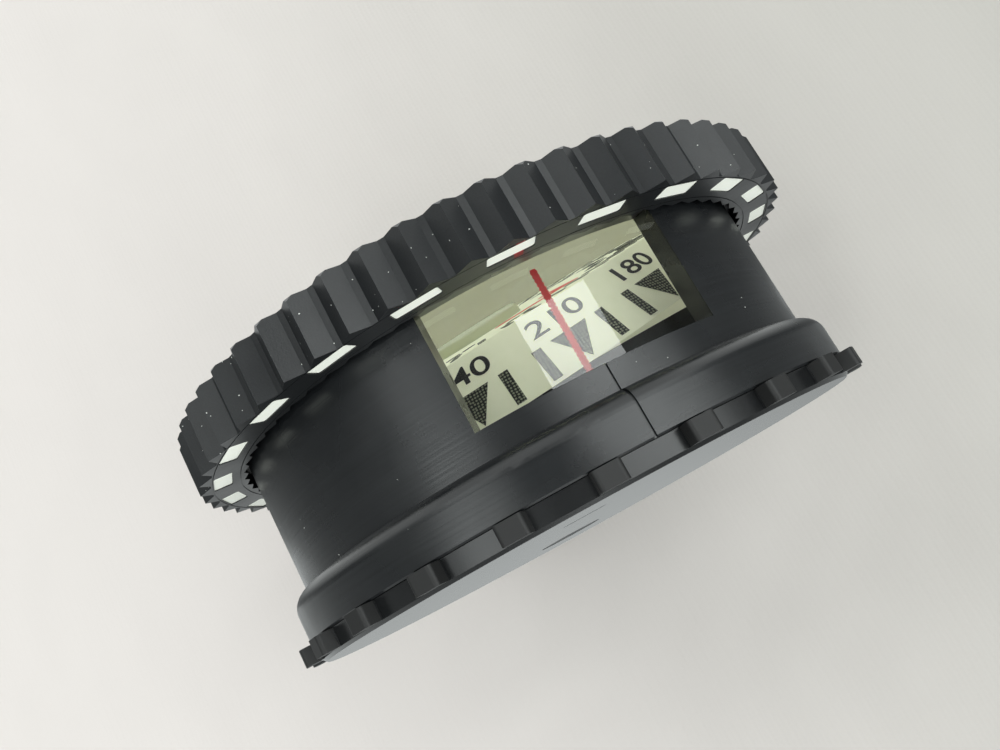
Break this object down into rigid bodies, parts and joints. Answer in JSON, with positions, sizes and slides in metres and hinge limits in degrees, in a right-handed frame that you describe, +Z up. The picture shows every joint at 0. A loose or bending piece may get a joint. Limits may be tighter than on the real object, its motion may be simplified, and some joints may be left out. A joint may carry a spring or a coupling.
{
  "type": "side-reading bearing compass",
  "caption": "Marine bearing compass capsule: toothed ratchet bezel, clear dome, side window with lubber line, tilting fluid-damped card, locking base.",
  "frame": {"origin": "middle of the base's flat underside, on the compass axis", "axes": "+Z up along the compass axis through the dome, -Y towards the middle of the side window"},
  "size_m": [0.065, 0.065, 0.0268],
  "materials": {
    "body_plastic": "satin, turned",
    "base_plastic": "gloss underside, rough lugs",
    "bezel_plastic": "spark-eroded satin",
    "clear_plastic": "polished acrylic",
    "lubber_red": "printed ink",
    "rubber": "moulded",
    "plug_rubber": "moulded",
    "inner_plastic": "moulded",
    "brass": "turned",
    "steel": "drawn",
    "luminous_plastic": "translucent",
    "index_red": "printed ink",
    "jewel_glass": "polished",
    "card_plastic": "luminous coating",
    "card_ink": "screen print",
    "arrow_red": "screen print",
    "carrier_plastic": "moulded",
    "magnet": "sintered",
    "foam": "closed-cell",
    "card_cap": "moulded"
  },
  "bodies": {
    "housing": {"housing": "body_plastic", "base_cover": "base_plastic", "base_seal": "rubber", "base_plug": "plug_rubber", "capsule": "clear_plastic", "side_window": "clear_plastic", "lubber_line": "lubber_red", "capsule_seal": "rubber", "capsule_floor": "inner_plastic", "floor_gasket": "rubber", "clamp_ring": "inner_plastic", "fill_screw": "brass", "fill_seal": "rubber", "diaphragm": "rubber", "diaphragm_ring": "inner_plastic", "pivot_post": "inner_plastic", "pivot_pin": "steel", "snap_ring": "steel", "click_spring": "steel"},
    "bezel": {"bezel": "bezel_plastic", "luminous_pips": "luminous_plastic", "bezel_index": "index_red"},
    "jewel": {"jewel": "jewel_glass"},
    "jewel_setting": {"jewel_setting": "brass"},
    "card": {"card": "card_plastic", "card_marks": "card_ink", "card_top_scale": "card_ink", "north_arrow": "arrow_red", "magnet_carrier": "carrier_plastic", "left_magnet": "magnet", "right_magnet": "magnet", "balance_weight": "brass", "float_ring": "foam", "hub_cap": "card_cap"}
  },
  "joints": [
    {"name": "bezel_turn", "type": "hinge", "parent": "housing", "child": "bezel", "pos_m": [0, 0, 0.02135], "axis": [0, 0, 1], "continuous": true},
    {"name": "card_tilt", "type": "hinge", "parent": "housing", "child": "jewel", "pos_m": [0, 0, 0.01394], "axis": [0.8221, -0.5693, 0], "range_deg": [-27.3, 0]},
    {"name": "card_roll", "type": "hinge", "parent": "jewel", "child": "jewel_setting", "pos_m": [0, 0, 0.01394], "axis": [-0.5532, -0.7989, -0.2362], "range_deg": [-5, 5]},
    {"name": "card_heading", "type": "hinge", "parent": "jewel_setting", "child": "card", "pos_m": [0, 0, 0.01394], "axis": [-0.1344, -0.1942, 0.9717], "continuous": true}
  ]
}
